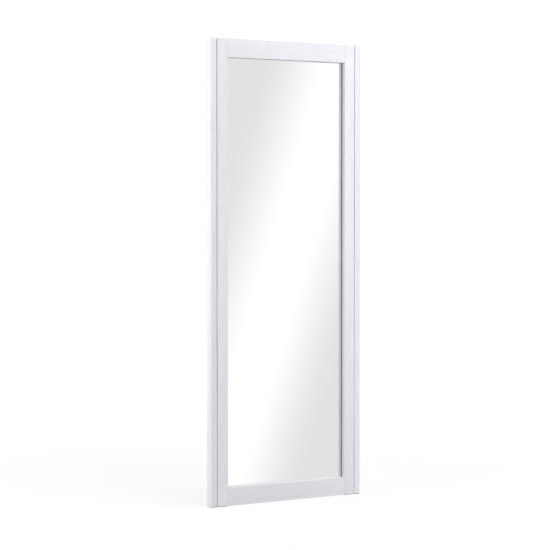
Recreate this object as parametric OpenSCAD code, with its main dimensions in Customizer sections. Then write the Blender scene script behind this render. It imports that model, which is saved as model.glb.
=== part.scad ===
// Cheval floor mirror: a tall framed mirror nested in a folding rear stand.
// Millimetres, +Z up, origin on the floor under the middle of the closed mirror.
// The mirror faces -Y and +X is to the right of someone looking into it.

/* [Overall] */
// Height of the mirror from the floor
overall_h = 1600; // [1400:10:1900]
// Width over both uprights of the stand
overall_w = 600; // [480:10:700]
// Depth of the closed mirror, which is also the depth of the uprights
overall_d = 32; // [30:1:36]

/* [Mirror frame] */
// Width of the two stiles, seen from the front
stile_w = 40.4; // [40:0.2:50]
// Height of the top and bottom rails
rail_h = 63; // [50:1:90]
// Depth of the lip in front of the glazing seal
lip_d = 16.2; // [14:0.2:17]
// Width of the rabbet that holds the glass, behind the lip
rabbet_w = 8; // [6:1:12]
// Diameter of the dowels in the corner joints
dowel_d = 8; // [6:1:8]
// Length of the dowels in the corner joints
dowel_l = 40; // [30:2:40]

/* [Glazing] */
// Thickness of the dark seal between the lip and the glass
seal_t = 3.5; // [3:0.5:4]
// Thickness of the mirror glass
glass_t = 3; // [2.5:0.5:3.5]
// Thickness of the hardboard back
backing_t = 2; // [2:0.5:2.5]
// Number of spring clips along each stile
clips_per_side = 5; // [3:1:7]

/* [Stand] */
// Width of each upright, seen from the front
upright_w = 22; // [20:1:26]
// Gap between an upright and the mirror frame
side_gap = 2.6; // [2:0.2:3]
// Height of the swing axis above the floor
pivot_z = 1480; // [1400:10:1500]
// Furthest that the stand swings out behind the frame, in degrees
stand_swing = 16; // [10:1:18]
// Height of the two cross rails
cross_rail_h = 50; // [40:1:60]
// Height of the middle of the upper cross rail
upper_rail_z = 1400; // [1300:10:1420]
// Height of the middle of the lower cross rail
lower_rail_z = 260; // [150:10:500]
// Overlap of a cross rail on each upright
lap_l = 15; // [12:1:16]

/* [Hook stays] */
// Height of the pins that the stays turn on
stay_pin_z = 780; // [700:10:900]
// Height of the studs above the stay pins when the stand is closed
stud_rise = 50; // [40:5:80]
// Width of the flat bar
stay_w = 5.5; // [5:0.5:6]
// Thickness of the flat bar
stay_t = 1.5; // [1:0.5:2]
// Diameter of the pins and studs
stay_pin_d = 3; // [2.5:0.5:3]

/* [Feet] */
// Thickness of the rubber pads underneath
foot_t = 1.5; // [1:0.5:3]

/* [Hidden] */
$fn = 48;

// Clearances
run_gap = 0.05;     // round a pin that something turns on
face_gap = 0.1;     // between flat faces that slide on each other
loose_gap = 0.5;    // round a head or a stud that has to stay free
glass_gap = 1;      // round the edge of the glass

// Planes from front to back
front_y = -overall_d / 2;
back_y = overall_d / 2;
seal_y = front_y + lip_d;
glass_y = seal_y + seal_t;
backing_y = glass_y + glass_t;
frame_back_y = backing_y + backing_t;
frame_d = frame_back_y - front_y;
cross_rail_y = frame_back_y + 1;
cross_rail_d = back_y - cross_rail_y;

// Outlines
frame_w = overall_w - 2 * (upright_w + side_gap);
frame_x = frame_w / 2;
opening_x = frame_x - stile_w;
opening_w = 2 * opening_x;
opening_low = rail_h;
opening_high = overall_h - rail_h;
opening_h = opening_high - opening_low;
glass_w = opening_w + 2 * (rabbet_w - glass_gap);
glass_h = opening_h + 2 * (rabbet_w - glass_gap);
opening_mid_z = (opening_low + opening_high) / 2;
upright_in_x = overall_w / 2 - upright_w;
upright_mid_x = overall_w / 2 - upright_w / 2;
wood_h = overall_h - foot_t;

// Corner joints
dowel_y = -5;
dowel_inset = 15;
dowel_zs = [
    foot_t + dowel_inset, opening_low - dowel_inset,
    opening_high + dowel_inset, overall_h - dowel_inset
];

// Swing axis: a shoulder bolt in each upright, screwed into the stile
pivot_y = -3;
shoulder_d = 8;
thread_d = 6;
insert_d = 10;
insert_l = 20;
bolt_head_d = 11;
bolt_head_t = 3;
cap_d = 13;
cap_t = 1.5;
well_l = bolt_head_t + cap_t + loose_gap;   // depth of the counterbore in the upright
washer_d = 16;

// Hook stays
stay_y = frame_back_y + 0.4 + stay_w / 2;   // middle of the bar while it hangs
stay_x = 271;                               // inner face of the bar
stay_hang = 5;                              // bar past the middle of its pin
notch_off = -0.75;                          // middle of the notch, towards the frame
notch_r = stay_pin_d / 2 + loose_gap;
stud_z = stay_pin_z + stud_rise;
// Where the stud lies once the stand is fully out
stud_dy = stay_y - pivot_y;
stud_dz = stud_z - pivot_z;
open_y = pivot_y + stud_dy * cos(stand_swing) - stud_dz * sin(stand_swing);
open_z = pivot_z + stud_dy * sin(stand_swing) + stud_dz * cos(stand_swing);
reach = norm([open_y - stay_y, open_z - stay_pin_z]);
stay_l = sqrt(reach * reach - notch_off * notch_off);
stay_head_d = 4.2;
stud_head_d = 5;
ear_x = 267;
ear_t = 1;

// Colours
paint = "#eeedf2";
steel = "#b9babd";
zinc = "#a7a8aa";
rubber = "#3a3a3d";
nylon = "#e9e7df";
hardboard = "#8a6a4c";

// A box from its lowest corner to its highest
module block(low, high) {
    translate(low) cube(high - low);
}

// A cylinder along X from x0 to x1
module rod_x(d, x0, x1, y, z) {
    translate([x0, y, z]) rotate([0, 90, 0]) cylinder(d = d, h = x1 - x0);
}

// A cylinder along Y from y0 to y1
module rod_y(d, x, y0, y1, z) {
    translate([x, y0, z]) rotate([-90, 0, 0]) cylinder(d = d, h = y1 - y0);
}

// The right-hand child and its mirror image on the left
module both_sides() {
    children();
    mirror([1, 0, 0]) children();
}

// A pan-head screw along Y with its head at the back, seated on the plane seat_y
module screw_y(x, seat_y, z, d, length, head_d, head_t) {
    rod_y(d, x, seat_y - length, seat_y + 0.1, z);
    difference() {
        rod_y(head_d, x, seat_y, seat_y + head_t, z);
        for (turn = [0, 90])
            translate([x, seat_y + head_t, z]) rotate([0, turn, 0])
                cube([head_d * 0.6, head_t, head_d * 0.14], center = true);
    }
}

module dowel_bores() {
    for (z = dowel_zs)
        rod_x(dowel_d + 2 * run_gap, opening_x - dowel_l / 2 - 0.5, opening_x + dowel_l / 2 + 0.5, dowel_y, z);
}

module right_stile_shape() {
    difference() {
        block([opening_x, front_y, foot_t], [frame_x, frame_back_y, overall_h]);
        block([opening_x - 1, seal_y, opening_low - rabbet_w],
              [opening_x + rabbet_w, frame_back_y + 1, opening_high + rabbet_w]);
        dowel_bores();
        rod_x(insert_d, frame_x - insert_l, frame_x + 1, pivot_y, pivot_z);
        for (z = clip_zs) rod_y(2.4, clip_x, frame_back_y - 10, frame_back_y + 1, z);
        for (z = bracket_zs) rod_y(3, bracket_x, frame_back_y - 12, frame_back_y + 1, z);
    }
}

module left_stile() {
    color(paint) mirror([1, 0, 0]) right_stile_shape();
}

module right_stile() {
    color(paint) right_stile_shape();
}

// A rail between the stiles; its rabbet is centred on rabbet_z and starts at rabbet_y
module rail(low, high, rabbet_y, rabbet_z) {
    difference() {
        block([-opening_x, front_y, low], [opening_x, frame_back_y, high]);
        block([-opening_x - 1, rabbet_y, rabbet_z - rabbet_w],
              [opening_x + 1, frame_back_y + 1, rabbet_z + rabbet_w]);
        both_sides() dowel_bores();
    }
}

module top_rail() {
    color(paint) rail(opening_high, overall_h, seal_y, opening_high);
}

module bottom_rail() {
    color(paint) rail(foot_t, opening_low, glass_y, opening_low);
}

module corner_dowels() {
    color("burlywood") both_sides() for (z = dowel_zs)
        rod_x(dowel_d, opening_x - dowel_l / 2, opening_x + dowel_l / 2, dowel_y, z);
}

// The seal runs up both stiles and under the top rail; the glass stands on the bottom rail
module glazing_seal() {
    glass_low = opening_mid_z - glass_h / 2;
    color(rubber) difference() {
        block([-glass_w / 2, seal_y, glass_low], [glass_w / 2, glass_y, glass_low + glass_h]);
        block([-opening_x, seal_y - 1, glass_low - 1], [opening_x, glass_y + 1, opening_high]);
    }
}

module mirror_glass() {
    color("gainsboro")
        block([-glass_w / 2, glass_y, opening_mid_z - glass_h / 2],
              [glass_w / 2, backing_y, opening_mid_z + glass_h / 2]);
}

module backing_board() {
    color(hardboard)
        block([-glass_w / 2, backing_y, opening_mid_z - glass_h / 2],
              [glass_w / 2, frame_back_y, opening_mid_z + glass_h / 2]);
}

// Spring clips: thin plates on the stiles that reach over the hardboard
clip_x = opening_x + rabbet_w + 6;
clip_w = 26;
clip_h = 12;
clip_t = 0.8;
clip_step = (opening_h - 200) / (clips_per_side - 1);
clip_zs = [for (i = [0 : clips_per_side - 1]) opening_low + 130 + i * clip_step];

module backing_clips() {
    color(steel) both_sides() for (z = clip_zs)
        difference() {
            block([clip_x + 6 - clip_w, frame_back_y, z - clip_h / 2],
                  [clip_x + 6, frame_back_y + clip_t, z + clip_h / 2]);
            rod_y(2.6, clip_x, frame_back_y - 1, frame_back_y + 2, z);
        }
}

module clip_screws() {
    color(zinc) both_sides() for (z = clip_zs)
        screw_y(clip_x, frame_back_y + clip_t, z, 2.3, 9, 5, 1.4);
}

module pivot_inserts() {
    color("darkgoldenrod") both_sides() difference() {
        rod_x(insert_d - 2 * run_gap, frame_x - insert_l, frame_x, pivot_y, pivot_z);
        rod_x(thread_d + 2 * run_gap, frame_x - insert_l - 1, frame_x + 1, pivot_y, pivot_z);
    }
}

module pivot_bolts() {
    head_x = overall_w / 2 - well_l + face_gap;
    color(zinc) both_sides() difference() {
        union() {
            rod_x(thread_d, frame_x - insert_l + 3, frame_x + 0.5, pivot_y, pivot_z);
            rod_x(shoulder_d, frame_x, head_x + 1, pivot_y, pivot_z);
            rod_x(bolt_head_d, head_x, head_x + bolt_head_t, pivot_y, pivot_z);
        }
        translate([head_x + bolt_head_t - 1, pivot_y, pivot_z]) rotate([0, 90, 0])
            cylinder(d = 5, h = 3, $fn = 6);
    }
}

module pivot_washers() {
    color(nylon) both_sides() difference() {
        rod_x(washer_d, frame_x, frame_x + side_gap - face_gap, pivot_y, pivot_z);
        rod_x(shoulder_d + 2 * run_gap, frame_x - 1, frame_x + side_gap + 1, pivot_y, pivot_z);
    }
}

// Stay brackets: a plate on the back of the stile with an ear that holds the pin
bracket_x = 258;
bracket_h = 34;
bracket_zs = [stay_pin_z - 11, stay_pin_z + 11];

module stay_brackets() {
    color(steel) both_sides() difference() {
        union() {
            block([bracket_x - 7, frame_back_y, stay_pin_z - bracket_h / 2],
                  [ear_x + ear_t, frame_back_y + ear_t, stay_pin_z + bracket_h / 2]);
            block([ear_x, frame_back_y, stay_pin_z - 6], [ear_x + ear_t, stay_y, stay_pin_z + 6]);
            intersection() {
                rod_x(12, ear_x, ear_x + ear_t, stay_y, stay_pin_z);
                block([ear_x - 1, frame_back_y, stay_pin_z - 10],
                      [ear_x + 2, stay_y + stay_w / 2, stay_pin_z + 10]);
            }
        }
        rod_x(stay_pin_d + 2 * run_gap, ear_x - 1, ear_x + 3, stay_y, stay_pin_z);
        for (z = bracket_zs) rod_y(3.2, bracket_x, frame_back_y - 1, frame_back_y + 3, z);
    }
}

module bracket_screws() {
    color(zinc) both_sides() for (z = bracket_zs)
        screw_y(bracket_x, frame_back_y + ear_t, z, 2.9, 12, 6, 1.8);
}

// Stay pins: riveted heads, and a collar that spaces the bar from the ear
module stay_pins() {
    collar_x = ear_x + ear_t;
    end_x = stay_x + stay_t + face_gap;
    color(zinc) both_sides() {
        rod_x(stay_head_d, ear_x - 1.2, ear_x, stay_y, stay_pin_z);
        rod_x(stay_pin_d, ear_x - 0.5, end_x + 0.5, stay_y, stay_pin_z);
        rod_x(stay_head_d, collar_x, stay_x - face_gap, stay_y, stay_pin_z);
        rod_x(stay_head_d, end_x, end_x + 1, stay_y, stay_pin_z);
    }
}

module stand_bumpers() {
    color(rubber) both_sides() for (z = [upper_rail_z, lower_rail_z])
        rod_y(10, bracket_x, frame_back_y, cross_rail_y - face_gap, z);
}

module frame_feet() {
    color(rubber) both_sides()
        block([opening_x + 2, front_y + 0.5, 0], [frame_x - 2, frame_back_y - 0.5, foot_t]);
}

module right_upright_shape() {
    difference() {
        block([upright_in_x, front_y, foot_t], [overall_w / 2, back_y, overall_h]);
        rod_x(shoulder_d + 2 * run_gap, upright_in_x - 1, overall_w / 2, pivot_y, pivot_z);
        rod_x(cap_d, overall_w / 2 - well_l, overall_w / 2 + 1, pivot_y, pivot_z);
        for (z = [upper_rail_z, lower_rail_z]) {
            block([upright_in_x - 1, cross_rail_y, z - cross_rail_h / 2],
                  [upright_in_x + lap_l, back_y + 1, z + cross_rail_h / 2]);
            for (dz = lap_screw_dzs)
                rod_y(3.2, lap_screw_x, lap_seat_y - lap_screw_l - 0.5, cross_rail_y + 1, z + dz);
        }
        rod_x(stay_pin_d, upright_in_x - 1, upright_in_x + 12, stay_y, stud_z);
    }
}

module left_upright() {
    color(paint) mirror([1, 0, 0]) right_upright_shape();
}

module right_upright() {
    color(paint) right_upright_shape();
}

// Cross rails lapped into the backs of the uprights, two screws at each end
lap_screw_x = upright_in_x + lap_l / 2;
lap_screw_dzs = [-14, 14];
lap_screw_l = 16;
lap_seat_y = back_y - 2.4;

module cross_rail(z) {
    difference() {
        block([-upright_in_x - lap_l, cross_rail_y, z - cross_rail_h / 2],
              [upright_in_x + lap_l, back_y, z + cross_rail_h / 2]);
        both_sides() for (dz = lap_screw_dzs) {
            rod_y(3.4, lap_screw_x, cross_rail_y - 1, back_y + 1, z + dz);
            rod_y(8, lap_screw_x, lap_seat_y, back_y + 1, z + dz);
        }
    }
}

module upper_cross_rail() {
    color(paint) cross_rail(upper_rail_z);
}

module lower_cross_rail() {
    color(paint) cross_rail(lower_rail_z);
}

module cross_rail_screws() {
    color(zinc) both_sides() for (z = [upper_rail_z, lower_rail_z]) for (dz = lap_screw_dzs)
        screw_y(lap_screw_x, lap_seat_y, z + dz, 3.1, lap_screw_l, 6.6, 2);
}

module pivot_caps() {
    cap_x = overall_w / 2 - cap_t;
    color(paint) both_sides()
        rod_x(cap_d - 0.04, cap_x, overall_w / 2, pivot_y, pivot_z);
}

module stay_studs() {
    head_x = stay_x - 0.7;
    color(zinc) both_sides() {
        rod_x(stay_pin_d - 0.04, head_x - 0.5, upright_in_x + 11, stay_y, stud_z);
        rod_x(stud_head_d, upright_in_x - 1, upright_in_x, stay_y, stud_z);
        rod_x(stud_head_d, head_x - 1, head_x, stay_y, stud_z);
    }
}

module stand_feet() {
    color(rubber) both_sides()
        block([upright_in_x + 1.5, front_y + 0.5, 0], [overall_w / 2 - 1.5, back_y - 0.5, foot_t]);
}

// A hook stay hanging from its pin; the notch near its end opens towards the frame
module right_stay_shape() {
    end_z = stay_pin_z - stay_l;
    difference() {
        union() {
            block([stay_x, stay_y - stay_w / 2, end_z], [stay_x + stay_t, stay_y + stay_w / 2, stay_pin_z]);
            rod_x(stay_w, stay_x, stay_x + stay_t, stay_y, stay_pin_z);
            rod_x(stay_w, stay_x, stay_x + stay_t, stay_y, end_z - stay_hang);
            block([stay_x, stay_y - stay_w / 2, end_z - stay_hang],
                  [stay_x + stay_t, stay_y + stay_w / 2, end_z]);
        }
        rod_x(stay_pin_d + 2 * run_gap, stay_x - 1, stay_x + stay_t + 1, stay_y, stay_pin_z);
        rod_x(2 * notch_r, stay_x - 1, stay_x + stay_t + 1, stay_y + notch_off, end_z);
        block([stay_x - 1, stay_y - stay_w, end_z - notch_r],
              [stay_x + stay_t + 1, stay_y + notch_off, end_z + notch_r]);
    }
}

module left_stay() {
    color(steel) mirror([1, 0, 0]) right_stay_shape();
}

module right_stay() {
    color(steel) right_stay_shape();
}

left_stile();
right_stile();
top_rail();
bottom_rail();
corner_dowels();
glazing_seal();
mirror_glass();
backing_board();
backing_clips();
clip_screws();
pivot_inserts();
pivot_bolts();
pivot_washers();
stay_brackets();
bracket_screws();
stay_pins();
stand_bumpers();
frame_feet();
left_upright();
right_upright();
upper_cross_rail();
lower_cross_rail();
cross_rail_screws();
pivot_caps();
stay_studs();
stand_feet();
left_stay();
right_stay();
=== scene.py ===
import math
import bpy
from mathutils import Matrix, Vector

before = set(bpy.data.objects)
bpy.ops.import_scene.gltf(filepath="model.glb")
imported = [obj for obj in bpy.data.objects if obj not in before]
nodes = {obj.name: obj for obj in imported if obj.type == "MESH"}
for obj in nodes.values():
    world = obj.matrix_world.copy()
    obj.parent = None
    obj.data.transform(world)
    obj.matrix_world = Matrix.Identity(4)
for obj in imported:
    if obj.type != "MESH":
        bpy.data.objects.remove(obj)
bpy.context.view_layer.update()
print("frame loaded:", len(nodes), "nodes")

camera = {
    "place": (-3.005, -5.181, 1.015),  # metres from the foot of the mirror
    "turn": 29.78,                     # degrees from straight at the front
    "tip": -2.152,                     # degrees above the level
    "lens": 112.33,                    # mm on a 36 mm sensor
}

studio = {
    "paper": 1.05,           # brightness of the white paper behind and below
    "fill": (0.03, 0.03, 0.03),    # light from all round
    "wall": 0.815,           # what the mirror sees of the grey studio wall
    "stripe": 1.09,          # and of the white stripe across it
    "stripeLean": 0.30,      # sideways lean of the stripe for each unit of height
    "stripeSide": 0.0151,    # its place beside the camera's mirrored sight line
    "stripeHalf": 0.0490,    # half its width at the outside of the soft edge
    "stripeCore": 0.0047,    # half the width of its even middle
}


def placeCamera(c):
    data = bpy.data.cameras.new("camera")
    data.lens = c["lens"]
    data.sensor_width = 36
    eye = bpy.data.objects.new("camera", data)
    eye.location = c["place"]
    eye.rotation_euler = (math.radians(90 + c["tip"]), 0, -math.radians(c["turn"]))
    bpy.context.scene.collection.objects.link(eye)
    bpy.context.scene.camera = eye


def buildWorld(s, turn):
    world = bpy.data.worlds.new("studio")
    bpy.context.scene.world = world
    world.use_nodes = True
    tree = world.node_tree
    tree.nodes.clear()
    new, link = tree.nodes.new, tree.links.new

    def dot(source, vector):
        n = new("ShaderNodeVectorMath")
        n.operation = "DOT_PRODUCT"
        link(source, n.inputs[0])
        n.inputs[1].default_value = vector
        return n.outputs["Value"]

    def calc(operation, a, b):
        n = new("ShaderNodeMath")
        n.operation = operation
        for socket, value in zip(n.inputs, (a, b)):
            if isinstance(value, (int, float)):
                socket.default_value = value
            else:
                link(value, socket)
        return n.outputs[0]

    way = new("ShaderNodeTexCoord").outputs["Generated"]
    a = math.radians(turn)
    across = dot(way, (math.cos(a), math.sin(a), -s["stripeLean"]))
    ahead = dot(way, (math.sin(a), -math.cos(a), 0))
    side = calc("SUBTRACT", calc("DIVIDE", across, ahead), s["stripeSide"])
    edge = new("ShaderNodeMapRange")
    edge.interpolation_type = "SMOOTHSTEP"
    link(calc("ABSOLUTE", side, 0), edge.inputs["Value"])
    edge.inputs["From Min"].default_value = s["stripeHalf"]
    edge.inputs["From Max"].default_value = s["stripeCore"]
    edge.inputs["To Min"].default_value = s["wall"]
    edge.inputs["To Max"].default_value = s["stripe"]

    def background(colour, socket=None):
        n = new("ShaderNodeBackground")
        n.inputs["Color"].default_value = (*colour, 1)
        if socket:
            link(socket, n.inputs["Strength"])
        return n.outputs[0]

    rays = new("ShaderNodeLightPath")
    inner = new("ShaderNodeMixShader")
    link(rays.outputs["Is Glossy Ray"], inner.inputs[0])
    link(background(s["fill"]), inner.inputs[1])
    link(background((1, 1, 1), edge.outputs[0]), inner.inputs[2])
    outer = new("ShaderNodeMixShader")
    link(rays.outputs["Is Camera Ray"], outer.inputs[0])
    link(inner.outputs[0], outer.inputs[1])
    link(background((s["paper"],) * 3), outer.inputs[2])
    end = new("ShaderNodeOutputWorld")
    link(outer.outputs[0], end.inputs["Surface"])


# Where each softbox stands, the point it faces, its width and height, and its watts.
lights = {
    "left side": ((-3.0, -0.2, 1.2), (0, 0, 1.0), (1.4, 1.4), 47.5),
    "left rear": ((-2.8, 0.9, 2.2), (0, 0, 1.2), (1.4, 1.4), 31),
    "above front": ((0.3, -3.2, 3.2), (0, 0, 1.1), (1.8, 1.2), 40),
    "right front": ((2.5, -2.3, 1.2), (0.1, 0, 1.0), (1.4, 1.4), 63),
    "top front": ((0.2, -1.2, 3.4), (0, 0, 1.0), (1.6, 1.2), 14),
    "ceiling": ((0, -0.3, 4.2), (0, -0.28, 0), (1.6, 0.5), 39),
    "rear": ((1.5, 3.0, 2.4), (0, 0, 0.9), (2.0, 2.0), 60),
}


def softbox(name, place, aim, size, power):
    data = bpy.data.lights.new(name, "AREA")
    data.shape = "RECTANGLE"
    data.size, data.size_y = size
    data.energy = power
    lamp = bpy.data.objects.new(name, data)
    lamp.location = place
    lamp.rotation_euler = (Vector(aim) - Vector(place)).to_track_quat("-Z", "Y").to_euler()
    lamp.visible_glossy = False        # the mirror sees only the wall and its stripe
    bpy.context.scene.collection.objects.link(lamp)


floorPaper = {
    "reach": 12,                      # half the width of the sheet
    "bounce": (0.51, 0.51, 0.52),     # the light it throws back on the mirror
    "shade": (0.20, 0.20, 0.205),     # how clearly shadows show on it
    "glow": 0.79,                     # added light at the foot of the mirror
    "glowFrom": 0.8,                  # the glow rises from here to the paper's white
    "glowTo": 4.5,
}


def layFloor(f, paper):
    reach = f["reach"]
    mesh = bpy.data.meshes.new("floor")
    corners = [(-reach, -reach, 0), (reach, -reach, 0), (reach, reach, 0), (-reach, reach, 0)]
    mesh.from_pydata(corners, [], [(0, 1, 2, 3)])
    floor = bpy.data.objects.new("floor", mesh)
    bpy.context.scene.collection.objects.link(floor)
    floor.visible_glossy = False
    m = bpy.data.materials.new("paper floor")
    m.use_nodes = True
    tree = m.node_tree
    tree.nodes.clear()
    new, link = tree.nodes.new, tree.links.new
    bare = new("ShaderNodeBsdfDiffuse")
    bare.inputs["Color"].default_value = (*f["bounce"], 1)
    lit = new("ShaderNodeBsdfDiffuse")
    lit.inputs["Color"].default_value = (*f["shade"], 1)
    far = new("ShaderNodeVectorMath")
    far.operation = "LENGTH"
    link(new("ShaderNodeTexCoord").outputs["Object"], far.inputs[0])
    spread = new("ShaderNodeMapRange")     # makes up for light that falls off with distance
    spread.interpolation_type = "SMOOTHSTEP"
    link(far.outputs["Value"], spread.inputs["Value"])
    spread.inputs["From Min"].default_value = f["glowFrom"]
    spread.inputs["From Max"].default_value = f["glowTo"]
    spread.inputs["To Min"].default_value = f["glow"]
    spread.inputs["To Max"].default_value = paper
    glow = new("ShaderNodeEmission")
    link(spread.outputs[0], glow.inputs["Strength"])
    both = new("ShaderNodeAddShader")
    link(lit.outputs[0], both.inputs[0])
    link(glow.outputs[0], both.inputs[1])
    rays = new("ShaderNodeLightPath")
    mix = new("ShaderNodeMixShader")
    link(rays.outputs["Is Camera Ray"], mix.inputs[0])
    link(bare.outputs[0], mix.inputs[1])
    link(both.outputs[0], mix.inputs[2])
    end = new("ShaderNodeOutputMaterial")
    link(mix.outputs[0], end.inputs["Surface"])
    mesh.materials.append(m)


placeCamera(camera)
buildWorld(studio, camera["turn"])
for name, setting in lights.items():
    softbox(name, *setting)
layFloor(floorPaper, studio["paper"])
view = bpy.context.scene.view_settings
view.view_transform = "Standard"
view.look = "None"
print("studio ready")


def newGroup(name, inputs, outputs):
    group = bpy.data.node_groups.new(name, "ShaderNodeTree")
    for label, kind, value in inputs:
        socket = group.interface.new_socket(label, in_out="INPUT", socket_type=kind)
        if value is not None:
            socket.default_value = value
    for label, kind in outputs:
        group.interface.new_socket(label, in_out="OUTPUT", socket_type=kind)
    return group, group.nodes.new("NodeGroupInput"), group.nodes.new("NodeGroupOutput")


def wire(tree, value, socket):
    if isinstance(value, bpy.types.NodeSocket):
        tree.links.new(value, socket)
    else:
        socket.default_value = value


def maths(tree, operation, a, b=0.0, clamp=False):
    n = tree.nodes.new("ShaderNodeMath")
    n.operation = operation
    n.use_clamp = clamp
    wire(tree, a, n.inputs[0])
    wire(tree, b, n.inputs[1])
    return n.outputs[0]


def vectors(tree, operation, a, b):
    n = tree.nodes.new("ShaderNodeVectorMath")
    n.operation = operation
    wire(tree, a, n.inputs[0])
    wire(tree, b, n.inputs[1])
    return n.outputs["Value" if operation in ("DISTANCE", "LENGTH") else "Vector"]


def noise(tree, vector, scale, detail=3.0, rough=0.55, distort=0.0):
    n = tree.nodes.new("ShaderNodeTexNoise")
    wire(tree, vector, n.inputs["Vector"])
    wire(tree, scale, n.inputs["Scale"])
    n.inputs["Detail"].default_value = detail
    n.inputs["Roughness"].default_value = rough
    wire(tree, distort, n.inputs["Distortion"])
    return n.outputs["Fac"]


def remap(tree, value, low, high, toLow=0.0, toHigh=1.0):
    n = tree.nodes.new("ShaderNodeMapRange")
    n.interpolation_type = "SMOOTHSTEP"
    wire(tree, value, n.inputs["Value"])
    for label, v in (("From Min", low), ("From Max", high), ("To Min", toLow), ("To Max", toHigh)):
        wire(tree, v, n.inputs[label])
    return n.outputs[0]


def buildGrainGroup():
    # Stretch squeezes the axis that the grain runs along, so the noise draws out into fibres.
    group, start, end = newGroup(
        "woodGrain",
        [("Vector", "NodeSocketVector", None), ("Stretch", "NodeSocketVector", (1, 1, 0.03)),
         ("Offset", "NodeSocketVector", (0, 0, 0)), ("Figure Scale", "NodeSocketFloat", 45.0),
         ("Fibre Scale", "NodeSocketFloat", 380.0), ("Pore Scale", "NodeSocketFloat", 1100.0)],
        [("Tone", "NodeSocketFloat"), ("Height", "NodeSocketFloat")])
    place = vectors(group, "MULTIPLY", start.outputs["Vector"], start.outputs["Stretch"])
    place = vectors(group, "ADD", place, start.outputs["Offset"])
    figure = noise(group, place, start.outputs["Figure Scale"], 4, 0.6, 0.8)
    fibre = noise(group, place, start.outputs["Fibre Scale"], 3, 0.6, 0.2)
    pore = remap(group, noise(group, place, start.outputs["Pore Scale"], 1, 0.4), 0.56, 0.68)
    tone = maths(group, "ADD", maths(group, "MULTIPLY", figure, 0.55),
                 maths(group, "MULTIPLY", fibre, 0.45))
    tone = maths(group, "SUBTRACT", tone, maths(group, "MULTIPLY", pore, 0.22))
    height = maths(group, "SUBTRACT", maths(group, "ADD", fibre, maths(group, "MULTIPLY", figure, 0.4)),
                   maths(group, "MULTIPLY", pore, 0.6))
    group.links.new(tone, end.inputs["Tone"])
    group.links.new(height, end.inputs["Height"])
    return group


def buildKnotGroup():
    # A knot under the paint: a soft oval with faint rings, Size metres across the grain.
    group, start, end = newGroup(
        "paintedKnot",
        [("Vector", "NodeSocketVector", None), ("Centre", "NodeSocketVector", (0, 0, 0)),
         ("Squash", "NodeSocketVector", (1, 0.2, 0.6)), ("Size", "NodeSocketFloat", 0.008)],
        [("Mask", "NodeSocketFloat"), ("Rings", "NodeSocketFloat")])
    away = vectors(group, "SUBTRACT", start.outputs["Vector"], start.outputs["Centre"])
    away = vectors(group, "MULTIPLY", away, start.outputs["Squash"])
    wobble = maths(group, "MULTIPLY", noise(group, away, 260.0, 2), 0.004)
    far = maths(group, "ADD", vectors(group, "LENGTH", away, (0, 0, 0)), wobble)
    far = maths(group, "DIVIDE", far, start.outputs["Size"])
    mask = remap(group, far, 1.6, 0.5)
    rings = maths(group, "MULTIPLY", maths(group, "SINE", maths(group, "MULTIPLY", far, 14.0)), mask)
    group.links.new(mask, end.inputs["Mask"])
    group.links.new(rings, end.inputs["Rings"])
    return group


def buildSpeckleGroup():
    group, start, end = newGroup(
        "speckle",
        [("Vector", "NodeSocketVector", None), ("Coarse", "NodeSocketFloat", 120.0),
         ("Fine", "NodeSocketFloat", 1400.0)],
        [("Cloud", "NodeSocketFloat"), ("Grit", "NodeSocketFloat")])
    place = start.outputs["Vector"]
    group.links.new(noise(group, place, start.outputs["Coarse"], 4), end.inputs["Cloud"])
    group.links.new(noise(group, place, start.outputs["Fine"], 2), end.inputs["Grit"])
    return group


def buildBrushGroup():
    # Fine scratches left by rolling and tumbling, drawn out along the axis that Stretch squeezes.
    group, start, end = newGroup(
        "brushedMetal",
        [("Vector", "NodeSocketVector", None), ("Stretch", "NodeSocketVector", (1, 1, 0.05)),
         ("Scale", "NodeSocketFloat", 2400.0)],
        [("Scratch", "NodeSocketFloat"), ("Patch", "NodeSocketFloat")])
    drawn = vectors(group, "MULTIPLY", start.outputs["Vector"], start.outputs["Stretch"])
    group.links.new(noise(group, drawn, start.outputs["Scale"], 3, 0.65), end.inputs["Scratch"])
    group.links.new(noise(group, start.outputs["Vector"], 160.0, 3), end.inputs["Patch"])
    return group


grainGroup = buildGrainGroup()
knotGroup = buildKnotGroup()
speckleGroup = buildSpeckleGroup()
brushGroup = buildBrushGroup()


def startMaterial(name):
    m = bpy.data.materials.new(name)
    m.use_nodes = True
    tree = m.node_tree
    shader = tree.nodes["Principled BSDF"]
    place = tree.nodes.new("ShaderNodeTexCoord").outputs["Object"]
    return m, tree, shader, place


def useGroup(tree, group, **values):
    n = tree.nodes.new("ShaderNodeGroup")
    n.node_tree = group
    for label, value in values.items():
        wire(tree, value, n.inputs[label.replace("_", " ")])
    return n


def blendColours(tree, factor, a, b):
    n = tree.nodes.new("ShaderNodeMix")
    n.data_type = "RGBA"
    wire(tree, factor, n.inputs["Factor"])
    for label, colour in (("A", a), ("B", b)):
        socket = [s for s in n.inputs if s.name == label and s.type == "RGBA"][0]
        wire(tree, colour if isinstance(colour, bpy.types.NodeSocket) else (*colour, 1), socket)
    return [s for s in n.outputs if s.type == "RGBA"][0]


def addBump(tree, shader, height, strength, distance):
    n = tree.nodes.new("ShaderNodeBump")
    n.inputs["Strength"].default_value = strength
    n.inputs["Distance"].default_value = distance
    tree.links.new(height, n.inputs["Height"])
    tree.links.new(n.outputs["Normal"], shader.inputs["Normal"])


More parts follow.
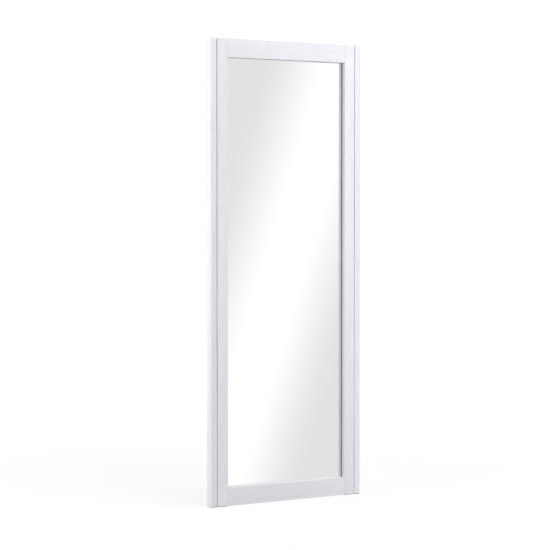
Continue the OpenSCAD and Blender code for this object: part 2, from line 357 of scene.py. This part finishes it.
timber = {
    "paint": (0.903, 0.893, 0.935),     # white with a breath of lavender
    "shade": (0.818, 0.808, 0.851),     # where the paint thins over the grain
    "seamShadow": (0.36, 0.35, 0.37),         # painted shadow line in the joint, where the paint stops at the meeting of two pieces
    "seamWidth": 0.0006,
    "seamBlur": 0.0002,
    "seamStrength": 0.85,
    "upright": (1, 1, 0.022),           # grain along Z
    "level": (0.022, 1, 1),             # grain along X
    "uprightTone": (0.31, 0.61),
    "levelTone": (0.22, 0.70),          # the rails are quieter than the stiles
    "satin": (0.42, 0.58),              # roughness on full paint and on thin paint
    "specular": 0.35,
    "relief": 0.35,
    "reliefDepth": 0.0005,
    "knotShade": 0.9,
    "knotRelief": 0.5,
    "ease": 0.0012,                     # radius on the long edges
}

# Each knot's centre on its piece and its size across the grain.
knots = {
    "left_upright": [((-0.2872, -0.016, 1.286), 0.0050), ((-0.2852, -0.016, 0.628), 0.0045)],
    "right_upright": [((0.2815, -0.016, 1.118), 0.0040), ((0.289, 0.016, 0.86), 0.0060)],
    "left_stile": [((-0.251, 0.0087, 0.42), 0.0060)],
    "bottom_rail": [((0.11, -0.016, 0.026), 0.0055)],
    "upper_cross_rail": [((-0.12, 0.016, 1.405), 0.0070)],
}


# How far from the middle each rail ends against its neighbour, where a painted shadow line runs.
seams = {"top_rail": 0.235, "bottom_rail": 0.235,
         "upper_cross_rail": 0.293, "lower_cross_rail": 0.293}


def paintedWood(name, way, offset, t):
    m, tree, shader, place = startMaterial("white wood " + name.replace("_", " "))
    stretch = t[way]
    grain = useGroup(tree, grainGroup, Vector=place, Stretch=stretch, Offset=offset)
    tone = remap(tree, grain.outputs["Tone"], *t[way + "Tone"])
    height = grain.outputs["Height"]
    for centre, size in knots.get(name, []):
        squash = (0.55, 0.2, 1) if stretch[0] < 1 else (1, 0.2, 0.55)
        knot = useGroup(tree, knotGroup, Vector=place, Centre=centre, Size=size, Squash=squash)
        thin = maths(tree, "MULTIPLY", knot.outputs["Mask"], t["knotShade"])
        tone = maths(tree, "SUBTRACT", tone, thin, True)
        rings = maths(tree, "MULTIPLY", knot.outputs["Rings"], t["knotRelief"])
        height = maths(tree, "ADD", height, rings)
    colour = blendColours(tree, tone, t["shade"], t["paint"])
    # Painted shadow: a thin dark line at each end of the rail, standing in for the shade in the joint
    # with its neighbour.
    if name in seams:
        split = tree.nodes.new("ShaderNodeSeparateXYZ")
        tree.links.new(place, split.inputs[0])
        across = maths(tree, "ABSOLUTE", split.outputs["X"])
        edge = seams[name] - t["seamWidth"]
        line = remap(tree, across, edge - t["seamBlur"], edge + t["seamBlur"])
        line = maths(tree, "MULTIPLY", line, t["seamStrength"])
        colour = blendColours(tree, line, colour, t["seamShadow"])
    tree.links.new(colour, shader.inputs["Base Color"])
    tree.links.new(remap(tree, tone, 0, 1, t["satin"][1], t["satin"][0]), shader.inputs["Roughness"])
    shader.inputs["Specular IOR Level"].default_value = t["specular"]
    addBump(tree, shader, height, t["relief"], t["reliefDepth"])
    return m


def speckled(name, dark, light, rough, relief, coarse=120.0, fine=1400.0, specular=0.4):
    m, tree, shader, place = startMaterial(name)
    spots = useGroup(tree, speckleGroup, Vector=place, Coarse=coarse, Fine=fine)
    mixed = maths(tree, "ADD", maths(tree, "MULTIPLY", spots.outputs["Cloud"], 0.6),
                  maths(tree, "MULTIPLY", spots.outputs["Grit"], 0.4))
    factor = remap(tree, mixed, 0.36, 0.64)
    tree.links.new(blendColours(tree, factor, dark, light), shader.inputs["Base Color"])
    tree.links.new(remap(tree, factor, 0, 1, rough[0], rough[1]), shader.inputs["Roughness"])
    shader.inputs["Specular IOR Level"].default_value = specular
    addBump(tree, shader, spots.outputs["Grit"], relief, 0.0003)
    return m


def metal(name, dark, light, rough, stretch=(1, 1, 0.05)):
    m, tree, shader, place = startMaterial(name)
    brush = useGroup(tree, brushGroup, Vector=place, Stretch=stretch)
    factor = remap(tree, brush.outputs["Patch"], 0.35, 0.65)
    tree.links.new(blendColours(tree, factor, dark, light), shader.inputs["Base Color"])
    tree.links.new(remap(tree, brush.outputs["Scratch"], 0.3, 0.7, rough[0], rough[1]),
                   shader.inputs["Roughness"])
    shader.inputs["Metallic"].default_value = 1
    addBump(tree, shader, brush.outputs["Scratch"], 0.15, 0.0002)
    return m


def silveredGlass(name, dark, light, dust):
    m, tree, shader, place = startMaterial(name)
    haze = useGroup(tree, speckleGroup, Vector=place, Coarse=6.0, Fine=300.0)
    cloud = remap(tree, haze.outputs["Cloud"], 0.3, 0.7)
    tree.links.new(blendColours(tree, cloud, dark, light), shader.inputs["Base Color"])
    tree.links.new(remap(tree, haze.outputs["Grit"], 0.3, 0.7, 0.0, dust), shader.inputs["Roughness"])
    shader.inputs["Metallic"].default_value = 1
    return m


def dress(node, material):
    mesh = nodes[node].data
    mesh.materials.clear()
    mesh.materials.append(material)


easing = {
    "joinWithin": 0.00001,
    "flatWithin": 0.3,      # degrees between triangles that are one flat face
    "sharpFrom": 35,        # degrees; gentler edges belong to round faces and stay
}


def easeEdges(node, radius, steps=3):
    # Whole flat faces come first, so that the bevel meets only the piece's real edges.
    piece = nodes[node]
    weld = piece.modifiers.new("join", "WELD")
    weld.merge_threshold = easing["joinWithin"]
    flat = piece.modifiers.new("flatten", "DECIMATE")
    flat.decimate_type = "DISSOLVE"
    flat.angle_limit = math.radians(easing["flatWithin"])
    bevel = piece.modifiers.new("ease", "BEVEL")
    bevel.width = radius
    bevel.segments = steps
    bevel.limit_method = "ANGLE"
    bevel.angle_limit = math.radians(easing["sharpFrom"])
    bevel.use_clamp_overlap = True
    bevel.harden_normals = True
    custom = piece.data.attributes.get("custom_normal")
    if custom:
        piece.data.attributes.remove(custom)
    piece.data.polygons.foreach_set("use_smooth", [True] * len(piece.data.polygons))


uprightPieces = ["left_stile", "right_stile", "left_upright", "right_upright"]
levelPieces = ["top_rail", "bottom_rail", "upper_cross_rail", "lower_cross_rail"]
for turn, name in enumerate(uprightPieces + levelPieces):
    way = "upright" if name in uprightPieces else "level"
    offset = (0.7 * turn, 2.1 * turn, 5.3 * turn)
    dress(name, paintedWood(name, way, offset, timber))
    easeEdges(name, timber["ease"])
print("timber dressed")

glazing = {
    "mirror": ((0.925, 0.930, 0.928), (0.935, 0.938, 0.937)),
    "dust": 0.012,      # the most roughness that dust gives the glass
    # the dark rubber seal behind the lip; its darkness also stands in for the shadow band along the
    # glass edge, painted shade
    "seal": ((0.070, 0.071, 0.078), (0.105, 0.106, 0.115)),
    "board": ((0.226, 0.136, 0.078), (0.280, 0.175, 0.103)),
}
dress("glazing_seal", speckled("seal rubber and painted shade", *glazing["seal"], (0.55, 0.7), 0.3))
dress("mirror_glass", silveredGlass("silvered glass", *glazing["mirror"], glazing["dust"]))
dress("backing_board", speckled("hardboard", *glazing["board"], (0.5, 0.7), 0.4, 160.0, 1500.0))
easeEdges("backing_board", 0.0006, 2)
easeEdges("mirror_glass", 0.0005, 2)
print("glazing dressed")

hardware = {
    "zinc": ((0.56, 0.57, 0.60), (0.74, 0.75, 0.77)),
    "brass": ((0.52, 0.36, 0.14), (0.70, 0.52, 0.24)),
    "nylon": ((0.74, 0.72, 0.66), (0.86, 0.85, 0.80)),
    "cap": ((0.85, 0.845, 0.885), (0.90, 0.893, 0.935)),
    "pad": ((0.035, 0.035, 0.038), (0.075, 0.075, 0.08)),
    "beech": ((0.46, 0.30, 0.16), (0.66, 0.47, 0.28)),
}
zinc = metal("bright zinc", *hardware["zinc"], (0.22, 0.42))
zincAcross = metal("bright zinc turned", *hardware["zinc"], (0.20, 0.38), (0.05, 1, 1))
pad = speckled("pad rubber", *hardware["pad"], (0.7, 0.85), 0.6)
finishes = {
    "backing_clips": (zinc, 0.0002), "clip_screws": (zincAcross, 0.0003),
    "pivot_inserts": (metal("turned brass", *hardware["brass"], (0.25, 0.4), (0.05, 1, 1)), 0.0002),
    "pivot_bolts": (zincAcross, 0.0004),
    "pivot_washers": (speckled("nylon", *hardware["nylon"], (0.4, 0.55), 0.1), 0.0002),
    "stay_brackets": (zinc, 0.0002), "bracket_screws": (zincAcross, 0.0003),
    "stay_pins": (zincAcross, 0.0003), "stay_studs": (zincAcross, 0.0003),
    "left_stay": (zinc, 0.0003), "right_stay": (zinc, 0.0003),
    "cross_rail_screws": (zincAcross, 0.0003),
    "pivot_caps": (speckled("white cap", *hardware["cap"], (0.4, 0.5), 0.1), 0.0004),
    "stand_bumpers": (pad, 0.0002), "frame_feet": (pad, 0.0003), "stand_feet": (pad, 0.0003),
    "corner_dowels": (speckled("beech", *hardware["beech"], (0.5, 0.7), 0.2), 0.0004),
}
for name, (material, radius) in finishes.items():
    dress(name, material)
    easeEdges(name, radius, 2)
print("hardware dressed")
